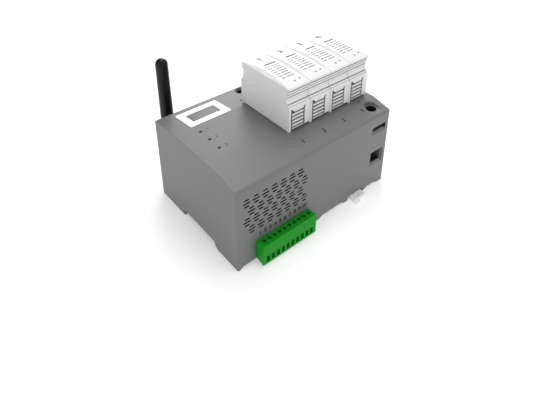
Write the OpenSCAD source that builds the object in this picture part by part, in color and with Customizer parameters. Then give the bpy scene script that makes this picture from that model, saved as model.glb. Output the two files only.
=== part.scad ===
// Rail-mounted data collector with four plug-in surge protective cartridges.
// Inside the modules, places are measured from the left wall (X), from the
// front wall (Y) and from the feet (Z). in_frame() then moves the origin to the
// middle of the rail seat: +X along the rail, +Y to the back wall, +Z up.

/* [Housing] */
// Width of the housing, along the rail
body_w = 131.5; // [130:0.5:145]
// Depth of the housing, from the front wall to the back wall
body_d = 90; // [88:0.5:96]
// Height of the top face along its front and back edges
edge_h = 61; // [60:0.5:63]
// Height of the raised middle of the top face
crown_h = 64; // [63.5:0.5:67]
// Thickness of the housing's walls and top
wall = 2.2; // [1.8:0.1:2.5]
// Radius of the four upright corner edges
corner_r = 1.25; // [1:0.25:4]
// Radius of the edge between the front wall and the top
brow_r = 2.4; // [1:0.2:2.8]
// Distance from the front wall to the foot of the front slope
slope_foot = 3; // [3:0.5:5]
// Distance from the front wall to the top of the front slope
slope_head = 15; // [12:0.5:17]
// Length of the slope down to the back edge, from front to back
facet_d = 25.8; // [24.2:0.1:26]
// Height of the shallow gaps between the feet of the front and back walls
foot_gap_h = 1.9; // [1:0.1:2.5]

/* [Rail] */
// Width of the mounting rail
rail_w = 35; // [34.5:0.1:35.5]
// Thickness of the mounting rail's sheet
rail_t = 1; // [0.8:0.1:1.3]
// Clearance of the rail on each side of it
rail_play = 0.35; // [0.2:0.05:0.5]
// Distance from the front wall to the recess for the rail
rail_front = 24.9; // [24:0.1:26]
// Height of the rail seat above the feet
seat_h = 4.7; // [4.6:0.1:5.5]
// How far the fixed hook reaches under the rail
hook_reach = 2; // [1:0.1:2.5]
// Width of the sprung clip
clip_w = 11; // [10:0.2:15]
// Distance from the left wall to the middle of the clip
clip_x = 102.2; // [100:0.2:105]
// How far the clip's pull tab stands out of the front wall
clip_tab = 5.4; // [5:0.2:7]
// Radius of the hole in the clip's pull tab
clip_hole_r = 1.5; // [1:0.1:2]

/* [Cartridges] */
// Width that each cartridge takes up, its gap included
pitch = 18; // [17.5:0.1:18]
// Gap between neighbouring cartridges
cart_gap = 0.3; // [0.2:0.05:0.5]
// Depth of a cartridge from front to back
cart_d = 49.2; // [48.5:0.1:50]
// Distance from the front wall to the cartridges
cart_front = 20; // [19.8:0.1:21]
// Distance from the right wall to the last cartridge
block_margin = 3.3; // [2.8:0.1:4]
// Height of a cartridge's top edge above its underside
cart_edge_h = 30.7; // [29.5:0.1:32]
// Rise of a cartridge's arched top above that edge
cart_arch = 2.3; // [1.5:0.1:3]
// Gap between the crown of the housing and a cartridge
cart_lift = 0.6; // [0.5:0.1:1.5]
// Depth of a cartridge's foot inside the housing
foot_depth = 7; // [6:0.1:7.5]
// Thickness of a contact blade
blade_t = 1.5; // [1:0.1:1.8]
// Width of a contact blade
blade_w = 8; // [6:0.5:8.5]

/* [Terminals] */
// Radius of the shafts that lead a screwdriver to the terminal screws
driver_r = 3.7; // [3.2:0.1:3.8]
// Radius of the sunk ring around each of those shafts
spot_r = 4.9; // [4.5:0.1:5.2]
// Depth of the front ring's floor below the crown
front_spot_d = 3; // [3:0.1:4]
// Depth of the back rings' floor below the crown
back_spot_d = 4; // [4:0.1:5]
// Distance from a cartridge's middle to the middle of its terminal
term_off = 2; // [1.8:0.1:2.2]
// Distance from the front wall to the earth terminal's screw
earth_y = 8.8; // [8.5:0.1:9.5]
// Distance from the back wall to the line terminals' screws
line_in = 6.2; // [6.2:0.1:7]
// Width of a wire window
window_w = 10.4; // [8:0.1:10.6]
// Height of a wire window's sill above the feet
window_z = 20.6; // [19.5:0.1:21]
// Height of a wire window
window_h = 10.2; // [10:0.1:12]

/* [Plug] */
// Distance between neighbouring poles of the green plug
plug_pitch = 3.96; // [3.8:0.01:4]
// Number of poles of the green plug
plug_poles = 10; // [8:1:10]
// Distance from the left wall to the middle of the plug
plug_x = 35.4; // [34:0.1:37]
// Width of the plug
plug_w = 43.4; // [42:0.1:46]
// Height of the plug
plug_h = 15.3; // [14.8:0.1:16]
// Height of the plug's underside above the feet
plug_z = 1.2; // [1:0.1:1.5]
// How far the plug stands out of the front wall
plug_out = 7; // [6:0.1:8]
// How far the plug's nose reaches into its socket
nose_d = 6.7; // [5:0.1:7]

/* [Display] */
// Width of the white frame round the display
bezel_w = 32; // [31:0.5:34]
// Length of that frame along the sloped facet
bezel_d = 20.8; // [20:0.1:23.4]
// How far the frame stands right of the middle between the left wall and the cartridges
bezel_off = 0.5; // [0:0.5:3]
// Width of the display's window
screen_w = 21.7; // [20:0.1:23]
// Height of the display's window along the facet
screen_d = 10.5; // [10:0.1:12]
// Radius of the status light holes
led_r = 1; // [0.8:0.1:1.2]
// Distance from the left wall to the row of status lights
led_x = 14.8; // [14:0.1:16]

/* [Antenna] */
// Distance from the left wall to the antenna
antenna_x = 18; // [16:0.5:20]
// Height of the antenna's hinge above the feet
hinge_z = 42; // [40:0.5:43]
// Distance from the back wall to the antenna's hinge
hinge_out = 17; // [16.5:0.1:18]
// Height of the antenna's tip above its hinge
whip_l = 52.5; // [50:0.5:70]
// Radius of the antenna at its lower end
whip_r = 4.6; // [4.4:0.1:5.2]
// Radius of the antenna near its tip
whip_tip_r = 4.3; // [3.6:0.1:4.4]
// Radius of the connector's thread
thread_r = 3.1; // [3:0.05:3.2]

/* [Vents] */
// Distance between neighbouring groups of slots along the wall
vent_pitch = 6.87; // [6.6:0.01:6.9]
// Distance between the rows of groups
vent_rise = 7.1; // [7:0.1:7.4]
// Distance between the slots of one group
slot_rise = 2.35; // [2:0.05:2.4]
// Height of a slot
slot_h = 1.1; // [0.8:0.1:1.2]
// Length of the middle slot of a group
long_slot = 5.2; // [4:0.1:5.3]
// Length of the upper and lower slots of a group
short_slot = 3.3; // [2.5:0.1:3.5]

/* [Hidden] */
poles = 4;
fine = 64;

// Clearances that several pieces share
fit_gap = 0.3;
hinge_gap = 0.05;
over = 1;

// Heights that follow from the rail seat and the walls
plate_t = 2;
plate_lift = 2;
plate_top = plate_lift + plate_t;
hump_top = seat_h + plate_t;
rail_back = rail_front + rail_w + 2 * rail_play;
rail_y = (rail_front + rail_back) / 2;
low_z = 0.4;

// The clip and its channel
clip_top = 3;
clip_nose = rail_front + rail_play + hook_reach + 0.5;
flange_w = 1.4;
flange_z = 1.8;
channel_top = clip_top + fit_gap;
channel_half = clip_w / 2 + flange_w + fit_gap;
spring_r = 1.7;
wire_r = 0.3;
spring_y = 7.2;
spring_end = 20;
spring_z = 3;
spring_turns = 7;
window_half = spring_r + fit_gap;
dome_top = spring_z + spring_r + fit_gap;

// The cartridges and what they stand in
block_x = body_w - block_margin - poles * pitch;
cart_w = pitch - cart_gap;
cart_z = crown_h + cart_lift;
foot_w = cart_w - 2.9;
foot_d = cart_d - 4.8;
foot_y = cart_front + (cart_d - foot_d) / 2;
foot_z = crown_h - foot_depth;
cart_wall = 1.2;
base_t = 2;
cavity_top = cart_z + cart_edge_h - 2.3;
undercut_h = 1.3;
undercut_d = 2.2;
well_z = foot_z - fit_gap;
well_rim = 3.6;
socket_z = foot_z - 12.5;
blade_z = foot_z - 11.5;
blade_top = cart_z + 1;
blade_inset = 5.7;
clip_gap = blade_t + 2 * fit_gap;
clip_wall = 0.8;
clip_z = foot_z - 14.3;
clip_head = well_z - 3.3;
link_t = 1.5;
link_z = clip_z - link_t;

// The terminals
term_x = block_x + cart_w / 2 + term_off;
earth_x = term_x + (poles - 1) * pitch + 0.5;
line_y = body_d - line_in;
tube_r = spot_r + 0.7;
tube_z = 40;
earth_tube_z = 53.5;
tower_w = 14;
tower_d = 13.8;
tower_wall = 1.4;
tower_floor = 17;
tower_top = 38;
cage_w = 10;
cage_d = 2 * (line_in - wall - fit_gap);
cage_h = 15;
cage_wall = 1.2;
screw_r = 2;
screw_head_r = 3.1;
screw_head_z = 36;
screw_head_h = 3;
tongue_z = 29;
tongue_tip = 3.4;
screw_len = 6;
board_screw_r = 2.2;
ear_screw_r = 2.4;

// The plug's socket and the board behind it
nose_w = plug_poles * plug_pitch + 0.8;
nose_z = plug_z + 2.4;
nose_h = plug_h - 4.9;
socket_wall = 1.4;
socket_d = 8.2;
pin_r = 0.5;
bore_side = 1.8;
board_t = 1.6;
tboard_y = wall + socket_d;
tboard_x = 9;
tboard_w = 53;
tboard_h = 42;
pole_z = plug_z + 7.2;
well_r = 1.45;
plug_thread_r = 0.8;
plug_head_z = 4.2;
plug_head_h = 2.2;

// The display and its board
facet_y = body_d - facet_d;
facet_tilt = atan2(edge_h - crown_h, facet_d);
facet_len = sqrt(pow(facet_d, 2) + pow(crown_h - edge_h, 2));
bezel_t = 1.6;
bezel_proud = 0.3;
bezel_r = 1.2;
bezel_rim = 0.2;
bezel_y = bezel_rim + bezel_d / 2;
opening_w = bezel_w - 5;
opening_d = bezel_d - 6.2;
bezel_x = block_x / 2 + bezel_off;
dboard_z = crown_h - 14;
dboard = [8, 28, block_x - 14, 37];
led_y = [56.9, 46.7, 36];
boss_at = [for (x = [11, block_x - 10], y = [31.5, 61.5]) [x, y]];

// The antenna
hinge_y = body_d + hinge_out;
collar_y = body_d + 2.6;
collar_l = 7.9;
collar_r = 4.6;
tongue_w = 4.2;
cheek_w = 1.8;
knuckle_r = 4.3;
pin_radius = 1.2;

// Posts inside the housing that take the screws of the base plate
post_r = 3.4;
post_h = 10;
post_at = [
    [wall + post_r, 17],
    [wall + post_r, body_d - 12],
    [82, wall + post_r],
    [body_w - wall - post_r, rail_back + 8]
];
// Bosses that carry the cartridge socket
ear_at = [
    [block_x + 10, foot_y - well_rim - 4.5],
    [block_x + 50, foot_y - well_rim - 4.5],
    [term_x + pitch / 2, foot_y + foot_d + well_rim + 5.2],
    [term_x + 2.5 * pitch, foot_y + foot_d + well_rim + 5.2]
];
ear_z = foot_z - 7;
ear_t = 3;
ear_r = 3.2;

// Height of the top face at a distance y from the front wall
function top_z(y) = lookup(y, [
    [0, edge_h], [slope_foot, edge_h], [slope_head, crown_h],
    [body_d - facet_d, crown_h], [body_d, edge_h]
]);
function pole_x(i) = block_x + cart_gap / 2 + cart_w / 2 + (i - 1) * pitch;
function line_x(i) = term_x + (i - 1) * pitch;
function plug_pole(i) = plug_x + (i - (plug_poles - 1) / 2) * plug_pitch;

// Moves the origin from the left front foot to the middle of the rail seat
module in_frame() {
    translate([-body_w / 2, -rail_y, -seat_h]) children();
}

// A block between two opposite corners
module block(low, high) {
    translate(low) cube(high - low);
}

// Extrudes a Y-Z outline along X
module along_x(x0, x1) {
    translate([x0, 0, 0]) rotate([90, 0, 90]) linear_extrude(x1 - x0) children();
}

// Extrudes an X-Z outline along Y
module along_y(y0, y1) {
    translate([0, y1, 0]) rotate([90, 0, 0]) linear_extrude(y1 - y0) children();
}

// Turns an upright child to lie along +Y, or along +X
module lay_y() {
    rotate([-90, 0, 0]) children();
}
module lay_x() {
    rotate([0, 90, 0]) children();
}

// A rectangle with round corners, its low corner at the origin
module rounded_rect(w, d, r) {
    translate([r, 0]) square([w - 2 * r, d]);
    translate([0, r]) square([w, d - 2 * r]);
    for (x = [r, w - r], y = [r, d - r])
        translate([x, y]) circle(r, $fn = fine);
}

// Places its children on the sloped facet: X right, Y up the facet to the back, Z out of it
module on_facet() {
    translate([0, facet_y, crown_h]) rotate([facet_tilt, 0, 0]) children();
}

// Side view of the housing: feet, rail recess, crowned top and rounded brow
module housing_outline() {
    difference() {
        polygon([
            [0, 0], [0, edge_h], [slope_foot, edge_h], [slope_head, crown_h],
            [body_d - facet_d, crown_h], [body_d, edge_h], [body_d, 0],
            [rail_back, 0], [rail_back, seat_h], [rail_front, seat_h],
            [rail_front - 1, 1.5], [rail_front - 3.6, 0]
        ]);
        difference() {
            translate([-over, edge_h - brow_r]) square(brow_r + over);
            translate([brow_r, edge_h - brow_r]) circle(brow_r, $fn = fine);
        }
    }
}

// The housing's outside as one solid
module housing_block() {
    intersection() {
        along_x(0, body_w) housing_outline();
        linear_extrude(crown_h + over) rounded_rect(body_w, body_d, corner_r);
    }
}

// The hollow inside the housing, open below
module housing_hollow() {
    inner = [
        for (y = [wall, slope_foot, slope_head, body_d - facet_d, body_d - wall])
            [y, top_z(y) - wall]
    ];
    along_x(wall, body_w - wall)
        polygon(concat([[wall, -over]], inner, [[body_d - wall, -over]]));
}

// Screwdriver shafts, screw posts and bosses that are moulded inside the housing
module housing_inside() {
    translate([earth_x, earth_y, earth_tube_z])
        cylinder(h = crown_h - earth_tube_z, r = tube_r, $fn = fine);
    for (i = [1:poles])
        translate([line_x(i), line_y, tube_z])
            cylinder(h = crown_h - tube_z, r = tube_r, $fn = fine);
    for (p = post_at) {
        translate([p[0], p[1], plate_top]) cylinder(h = post_h, r = post_r, $fn = fine);
        wall_web(p);
    }
    for (p = boss_at)
        translate([p[0], p[1], dboard_z]) cylinder(h = crown_h - dboard_z, r = 3, $fn = fine);
    for (p = ear_at)
        translate([p[0], p[1], ear_z + ear_t])
            cylinder(h = crown_h - ear_z - ear_t, r = ear_r, $fn = fine);
}

// Web between a screw post and the wall next to it
module wall_web(p) {
    if (p[0] < body_w / 3)
        block([wall / 2, p[1] - 1.2, plate_top], [p[0], p[1] + 1.2, plate_top + post_h]);
    else if (p[0] > body_w * 2 / 3 && p[1] > body_d / 2)
        block([p[0], p[1] - 1.2, plate_top], [body_w - wall / 2, p[1] + 1.2, plate_top + post_h]);
    else
        block([p[0] - 1.2, wall / 2, plate_top], [p[0] + 1.2, p[1], plate_top + post_h]);
}

// Four staggered rows of vent groups, each a short, a long and a short slot
module vents() {
    groups = 7;
    first_x = 7.6;
    top_row = 49.6;
    thin = 0.8;
    margin = 3.6;
    // The wall is thinner behind the slots
    block([first_x - margin, thin, top_row - 3 * vent_rise - margin],
          [first_x + (groups - 0.5) * vent_pitch + margin, wall + over, top_row + margin]);
    along_y(-over, wall + over)
        for (row = [0:3], i = [0:groups - 1]) {
            x = first_x + (row % 2) * vent_pitch / 2 + i * vent_pitch;
            z = top_row - row * vent_rise;
            for (k = [-1, 0, 1]) {
                len = k == 0 ? long_slot : short_slot;
                translate([x - len / 2, z + k * slot_rise - slot_h / 2]) square([len, slot_h]);
            }
        }
}

// Shallow gaps that leave feet along the front and back walls
module foot_gaps() {
    front_foot = 1;
    right_foot = 6;
    mid_foot = 3.5;
    back_foot = 8;
    clip_room = channel_half + 1.6;
    front_mid = body_w / 2 - 2.5;
    for (span = [[front_foot, front_mid], [front_mid + mid_foot, clip_x - clip_room - 2],
                 [clip_x + clip_room, body_w - right_foot]])
        foot_gap(span[0], span[1], -over, wall);
    for (span = [[back_foot, (body_w - back_foot) / 2], [(body_w + back_foot) / 2, body_w - back_foot]])
        foot_gap(span[0], span[1], body_d - wall, body_d + over);
}
module foot_gap(x0, x1, y0, y1) {
    ramp = 3.5;
    along_y(y0, y1) polygon([
        [x0, 0], [x0 + ramp, foot_gap_h], [x1 - ramp, foot_gap_h], [x1, 0], [x1, -over], [x0, -over]
    ]);
}

// A screwdriver shaft with its sunk ring
module driver_shaft(x, y, floor_z) {
    translate([x, y, tube_z - over]) cylinder(h = crown_h, r = driver_r, $fn = fine);
    translate([x, y, floor_z]) cylinder(h = crown_h, r = spot_r, $fn = fine);
}

// A wire window with a flared mouth, cut into the front wall
module wire_window() {
    flare = 1.1;
    sill = 1.8;
    block([-window_w / 2, -over, window_z], [window_w / 2, wall + over, window_z + window_h]);
    along_x(-window_w / 2 - flare, window_w / 2 + flare)
        polygon([
            [-over, window_z - sill], [0, window_z - sill], [1.2, window_z],
            [1.2, window_z + window_h], [0.2, window_z + window_h], [-over, window_z + window_h]
        ]);
}

// The slot high on the front wall, with its sloping sill
module signal_slot() {
    slot_w = 13.1;
    slot_top = 52;
    slot_gap = 2.9;
    sill = 5.8;
    shift = 0.4;
    along_x(earth_x - slot_w / 2 - shift, earth_x + slot_w / 2 - shift)
        polygon([
            [-over, slot_top - sill], [0, slot_top - sill], [wall, slot_top - slot_gap],
            [wall + over, slot_top - slot_gap], [wall + over, slot_top], [-over, slot_top]
        ]);
}

module housing() {
    color("#848484") in_frame() difference() {
        union() {
            difference() {
                housing_block();
                housing_hollow();
            }
            intersection() {
                housing_block();
                housing_inside();
            }
        }
        vents();
        foot_gaps();
        signal_slot();
        translate([earth_x, 0, 0]) wire_window();
        for (i = [1:poles])
            translate([line_x(i), body_d, 0]) mirror([0, 1, 0]) wire_window();
        driver_shaft(earth_x, earth_y, crown_h - front_spot_d);
        block([earth_x - spot_r, -over, crown_h - front_spot_d],
              [earth_x + spot_r, earth_y, crown_h + over]);
        for (i = [1:poles]) driver_shaft(line_x(i), line_y, crown_h - back_spot_d);
        // Wells that the cartridges' feet stand in
        for (i = [1:poles])
            block([pole_x(i) - foot_w / 2 - fit_gap, foot_y - fit_gap, crown_h - wall - over],
                  [pole_x(i) + foot_w / 2 + fit_gap, foot_y + foot_d + fit_gap, crown_h + over]);
        // Window for the plug, and the notch that the clip slides through
        block([plug_x - nose_w / 2 - fit_gap, -over, nose_z - fit_gap],
              [plug_x + nose_w / 2 + fit_gap, wall + over, nose_z + nose_h + fit_gap]);
        block([clip_x - channel_half, -over, -over], [clip_x + channel_half, wall + over, channel_top]);
        // Recess and opening for the display, and the status light holes
        on_facet() {
            bezel_plate(bezel_proud - bezel_t, over);
            block([bezel_x - opening_w / 2, bezel_y - opening_d / 2, -wall - over],
                  [bezel_x + opening_w / 2, bezel_y + opening_d / 2, over]);
        }
        for (y = led_y)
            translate([led_x, y, crown_h - wall - over])
                cylinder(h = wall + 2 * over, r = led_r, $fn = fine);
        // Two marks beside the cartridges
        for (p = [[block_x + 1.2, cart_front + cart_d + 2.2], [body_w - 12.8, cart_front - 2.2]])
            translate([p[0], p[1], top_z(p[1]) - 0.8]) cylinder(h = 2, r = 0.9, $fn = fine);
        // Hole for the antenna's connector
        translate([antenna_x, body_d - wall - over, hinge_z])
            lay_y() cylinder(h = wall + 2 * over, r = thread_r + 0.1, $fn = fine);
        // Pilot holes of the posts and bosses
        for (p = post_at)
            translate([p[0], p[1], plate_top - over]) cylinder(h = post_h - 1, r = 1.2, $fn = fine);
        for (p = boss_at)
            translate([p[0], p[1], dboard_z - over]) cylinder(h = 9, r = 1, $fn = fine);
        for (p = ear_at)
            translate([p[0], p[1], ear_z + ear_t - over]) cylinder(h = 8, r = 1.1, $fn = fine);
    }
}

// Section of the base plate: feet level, rail seat and the fixed hook
module plate_outline() {
    y0 = wall + fit_gap;
    y1 = body_d - wall - fit_gap;
    slot_z = seat_h - rail_t - 0.4;
    bar = 5;
    relief = 0.3;
    seat_y0 = clip_nose + fit_gap;
    seat_y1 = rail_back - hook_reach - fit_gap;
    polygon([
        [y0, plate_lift], [rail_front - 2, plate_lift], [rail_front, seat_h + relief],
        [seat_y0, seat_h + relief], [seat_y0, seat_h], [seat_y1, seat_h], [seat_y1, seat_h + relief],
        [rail_back, seat_h + relief], [rail_back, slot_z], [rail_back - hook_reach, slot_z],
        [rail_back - hook_reach, 1.4], [rail_back - hook_reach + 1, low_z],
        [rail_back + bar, low_z], [rail_back + bar, plate_lift], [y1, plate_lift],
        [y1, plate_top], [rail_back + 2.5, plate_top], [rail_back + 2.5, hump_top],
        [rail_front - 2.5, hump_top], [rail_front - 3.6, plate_top], [y0, plate_top]
    ]);
}

// A tower that holds one clamp cage, open towards its wire window
module tower() {
    difference() {
        block([-tower_w / 2, 0, plate_lift], [tower_w / 2, tower_d, tower_top]);
        block([-tower_w / 2 + tower_wall, -over, tower_floor],
              [tower_w / 2 - tower_wall, tower_d - tower_wall, tower_top + over]);
        block([-tongue_half() - fit_gap, 0, tongue_z - fit_gap],
              [tongue_half() + fit_gap, tower_d + over, tongue_z + link_t + fit_gap]);
    }
}
function tongue_half() = 3;

// Channel with overhanging lips that guides the clip, and the pocket for its spring
module clip_channel() {
    y0 = -over;
    y1 = rail_front + over;
    block([clip_x - clip_w / 2 - fit_gap, y0, -over],
          [clip_x + clip_w / 2 + fit_gap, y1, channel_top]);
    block([clip_x - channel_half, y0, flange_z - fit_gap], [clip_x + channel_half, y1, channel_top]);
    block([clip_x - window_half, spring_y, 0], [clip_x + window_half, spring_end + fit_gap, dome_top]);
}

// Slotted posts that hold the upright terminal board
module board_guide(x) {
    difference() {
        block([x - 2, tboard_y - 1.6, plate_top - 0.5], [x + 2, tboard_y + board_t + 1.6, plate_top + 12]);
        block([min(x, tboard_x), tboard_y, plate_top],
              [max(x, tboard_x + tboard_w), tboard_y + board_t, plate_top + 12 + over]);
    }
}

module base_plate() {
    color("#6E6E6E") in_frame() difference() {
        union() {
            along_x(wall + fit_gap, body_w - wall - fit_gap) plate_outline();
            for (i = [1:poles])
                translate([line_x(i), body_d - wall - fit_gap, 0]) mirror([0, 1, 0]) tower();
            translate([earth_x, wall + fit_gap, 0]) tower();
            board_guide(tboard_x);
            board_guide(tboard_x + tboard_w);
            // Guide block of the clip, with the stop that the spring leans on
            block([clip_x - channel_half - 1.6, wall + fit_gap, low_z],
                  [clip_x + channel_half + 1.6, rail_front, dome_top + 1.4]);
        }
        clip_channel();
        // Room for the plug's socket
        block([plug_x - nose_w / 2 - socket_wall - 2 * fit_gap, 0, 0],
              [plug_x + nose_w / 2 + socket_wall + 2 * fit_gap, tboard_y + 0.1, plate_top + over]);
        for (p = post_at)
            translate([p[0], p[1], -over]) cylinder(h = plate_top + 2, r = 1.6, $fn = fine);
    }
    color("#6E6E6E") in_frame() spring_stop();
}

// The stop hangs from the guide block into the clip's window
module spring_stop() {
    block([clip_x - window_half + fit_gap, spring_y - 1.6, 1],
          [clip_x + window_half - fit_gap, spring_y, dome_top]);
}

module base_screws() {
    color("#B9BCC0") in_frame() for (p = post_at) translate([p[0], p[1], 0]) {
        difference() {
            translate([0, 0, 0.5]) cylinder(h = plate_lift - 0.5, r = 2.7, $fn = fine);
            for (a = [0, 90]) rotate([0, 0, a]) translate([-1.6, -0.35, 0]) cube([3.2, 0.7, 1.1]);
        }
        translate([0, 0, plate_lift]) cylinder(h = plate_t + post_h - 4, r = 1.2, $fn = fine);
    }
}

// The sprung clip: tab with a round hole, flanges, window for the spring, and a nose
module din_clip() {
    x0 = clip_x - clip_w / 2;
    x1 = clip_x + clip_w / 2;
    color("#E8E8E4") in_frame() difference() {
        union() {
            along_x(x0, x1) polygon([
                [-clip_tab + 0.6, low_z], [-clip_tab, low_z + 0.6], [-clip_tab, clip_top - 0.6],
                [-clip_tab + 0.6, clip_top], [clip_nose, clip_top], [clip_nose, clip_top - 0.8],
                [clip_nose - 2, low_z]
            ]);
            block([x0 - flange_w, wall + 1, flange_z], [x1 + flange_w, spring_end + 2, clip_top]);
            // Lip that a screwdriver pulls on
            along_x(x0, x0 + 4.2) polygon([
                [-clip_tab - 1.8, low_z], [-clip_tab - 1.8, 1.4], [-clip_tab - 1, 2],
                [-clip_tab + over, 2], [-clip_tab + over, low_z]
            ]);
        }
        translate([clip_x, -clip_tab / 2 + 0.3, 0]) cylinder(h = 6, r = clip_hole_r, $fn = fine);
        block([clip_x - window_half, spring_y - 5, 0], [clip_x + window_half, spring_end, clip_top + over]);
        // Chamfered right corner of the tab
        translate([x1, -clip_tab, -over]) rotate([0, 0, 45]) cube([2.2, 2.2, 8], center = true);
    }
}

// Points of a helix along +Y between two ends, and the tube that is swept along it
function helix(turns, r, y0, y1, steps) = [
    for (k = [0:turns * steps])
        let (a = 360 * k / steps)
        [r * cos(a), y0 + (y1 - y0) * k / (turns * steps), r * sin(a)]
];
module swept_tube(path, r, sides) {
    last = len(path) - 1;
    rings = [
        for (k = [0:last])
            let (
                d = path[min(k + 1, last)] - path[max(k - 1, 0)],
                t = d / norm(d),
                n = cross(t, [0, 1, 0]) / norm(cross(t, [0, 1, 0])),
                b = cross(t, n)
            )
            for (s = [0:sides - 1])
                path[k] + r * (cos(360 * s / sides) * n + sin(360 * s / sides) * b)
    ];
    skin = [
        for (k = [0:last - 1], s = [0:sides - 1])
            let (a = k * sides + s, b = k * sides + (s + 1) % sides)
            [a, b, b + sides, a + sides]
    ];
    polyhedron(rings, concat(
        [[for (s = [sides - 1:-1:0]) s]], skin, [[for (s = [0:sides - 1]) last * sides + s]]
    ));
}

module clip_spring() {
    color("#C8CBD0") in_frame() translate([clip_x, 0, spring_z])
        swept_tube(helix(spring_turns, spring_r - wire_r, spring_y + wire_r + 0.05,
                         spring_end - wire_r - 0.05, 12), wire_r, 6);
}

// The frame's outline between two heights above the facet
module bezel_plate(z0, z1) {
    translate([bezel_x - bezel_w / 2, bezel_y - bezel_d / 2, z0])
        linear_extrude(z1 - z0) rounded_rect(bezel_w, bezel_d, bezel_r);
}

module display_bezel() {
    color("#F4F4F2") in_frame() on_facet() difference() {
        bezel_plate(bezel_proud - bezel_t, bezel_proud);
        block([bezel_x - screen_w / 2, bezel_y - screen_d / 2, -bezel_t - over],
              [bezel_x + screen_w / 2, bezel_y + screen_d / 2, bezel_proud + over]);
    }
}

// The pane fills the frame's opening from below, a little under its face
module display_window() {
    pane_t = 0.8;
    play = 0.1;
    sunk = 0.4;
    seat = bezel_proud - bezel_t;
    color("#8A908E", 0.6) in_frame() on_facet() {
        block([bezel_x - opening_w / 2 + play, bezel_y - opening_d / 2 + play, seat - pane_t],
              [bezel_x + opening_w / 2 - play, bezel_y + opening_d / 2 - play, seat]);
        block([bezel_x - screen_w / 2 + play, bezel_y - screen_d / 2 + play, seat - pane_t],
              [bezel_x + screen_w / 2 - play, bezel_y + screen_d / 2 - play, bezel_proud - sunk]);
    }
}

module display_panel() {
    panel_t = 1.8;
    lap = 1;
    color("#3A3F3C") in_frame() on_facet()
        block([bezel_x - opening_w / 2 - lap, bezel_y - opening_d / 2 - lap, -wall - 0.02 - panel_t],
              [bezel_x + opening_w / 2 + lap, bezel_y + opening_d / 2 + lap, -wall - 0.02]);
}

// Light pipes stand on the display board and end just below the top face
module light_pipes() {
    color("#D8D8D4", 0.8) in_frame() for (y = led_y) translate([led_x, y, dboard_z]) {
        cylinder(h = crown_h - 1.6 - dboard_z, r = led_r - 0.1, $fn = fine);
        translate([0, 0, crown_h - wall - dboard_z - 1.2]) cylinder(h = 1.2, r = led_r + 0.8, $fn = fine);
    }
}

module display_board() {
    color("#1F6B3A") in_frame() difference() {
        translate([dboard[0], dboard[1], dboard_z - board_t]) cube([dboard[2], dboard[3], board_t]);
        for (p = boss_at)
            translate([p[0], p[1], dboard_z - board_t - over])
                cylinder(h = board_t + 2 * over, r = 1.3, $fn = fine);
    }
}

module board_screws() {
    color("#B9BCC0") in_frame() for (p = boss_at) translate([p[0], p[1], dboard_z - board_t]) {
        translate([0, 0, -1.6]) cylinder(h = 1.6, r = board_screw_r, $fn = fine);
        cylinder(h = board_t + screw_len, r = 1, $fn = fine);
    }
}

module terminal_board() {
    color("#1F6B3A") in_frame() difference() {
        block([tboard_x, tboard_y, plate_top],
              [tboard_x + tboard_w, tboard_y + board_t, plate_top + tboard_h]);
        for (i = [0:plug_poles - 1])
            translate([plug_pole(i), tboard_y - over, pole_z])
                lay_y() cylinder(h = board_t + 2 * over, r = pin_r + 0.1, $fn = fine);
    }
}

// Socket of the plug, behind the front wall
module plug_socket() {
    half = nose_w / 2 + fit_gap;
    color("#1E8A2E") in_frame() difference() {
        block([plug_x - half - socket_wall, wall, nose_z - fit_gap - socket_wall],
              [plug_x + half + socket_wall, wall + socket_d, nose_z + nose_h + fit_gap + socket_wall]);
        block([plug_x - half, wall - over, nose_z - fit_gap],
              [plug_x + half, nose_d + fit_gap, nose_z + nose_h + fit_gap]);
        for (i = [0:plug_poles - 1])
            translate([plug_pole(i), 0, pole_z]) lay_y() cylinder(h = 20, r = pin_r, $fn = fine);
    }
}

module socket_pins() {
    color("#C9A24A") in_frame() for (i = [0:plug_poles - 1])
        translate([plug_pole(i), wall + 0.6, pole_z])
            lay_y() cylinder(h = tboard_y + board_t + 1.4 - wall - 0.6, r = pin_r, $fn = fine);
}

// Chambers of the plug, cut for each pole: wire entry, clamp chamber and screw well
module plug_chambers() {
    entry_w = 2.4;
    entry_z = plug_z + 1.3;
    entry_h = 4.5;
    for (i = [0:plug_poles - 1]) translate([plug_pole(i), 0, 0]) {
        block([-entry_w / 2, -plug_out - over, entry_z], [entry_w / 2, -plug_out + 1.6, entry_z + entry_h]);
        block([-1.5, -plug_out + 1.5, clamp_z()], [1.5, -fit_gap - 1, plug_z + 10.5]);
        translate([0, well_y(), plug_z + 5]) cylinder(h = plug_h, r = well_r, $fn = fine);
        block([-bore_side / 2, -1.4, pole_z - bore_side / 2],
              [bore_side / 2, nose_d + over, pole_z + bore_side / 2]);
    }
}

// Middle of the screws, behind the plug's face, and floor of the clamp chambers
function well_y() = -plug_out / 2 + 0.5;
function clamp_z() = plug_z + 2.2;

module terminal_plug() {
    end_r = 1.4;
    rise = 1.7;
    color("#2A9A34") in_frame() difference() {
        union() {
            intersection() {
                along_y(-plug_out, -fit_gap) translate([plug_x - plug_w / 2, plug_z]) {
                    rounded_rect(plug_w, plug_h, end_r);
                    square([plug_w, plug_h / 2]);
                }
                along_x(plug_x - plug_w, plug_x + plug_w) polygon([
                    [-plug_out, plug_z], [-fit_gap, plug_z + rise],
                    [-fit_gap, plug_z + plug_h], [-plug_out, plug_z + plug_h]
                ]);
            }
            block([plug_x - nose_w / 2, -fit_gap - over, nose_z],
                  [plug_x + nose_w / 2, nose_d, nose_z + nose_h]);
        }
        plug_chambers();
    }
}

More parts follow.
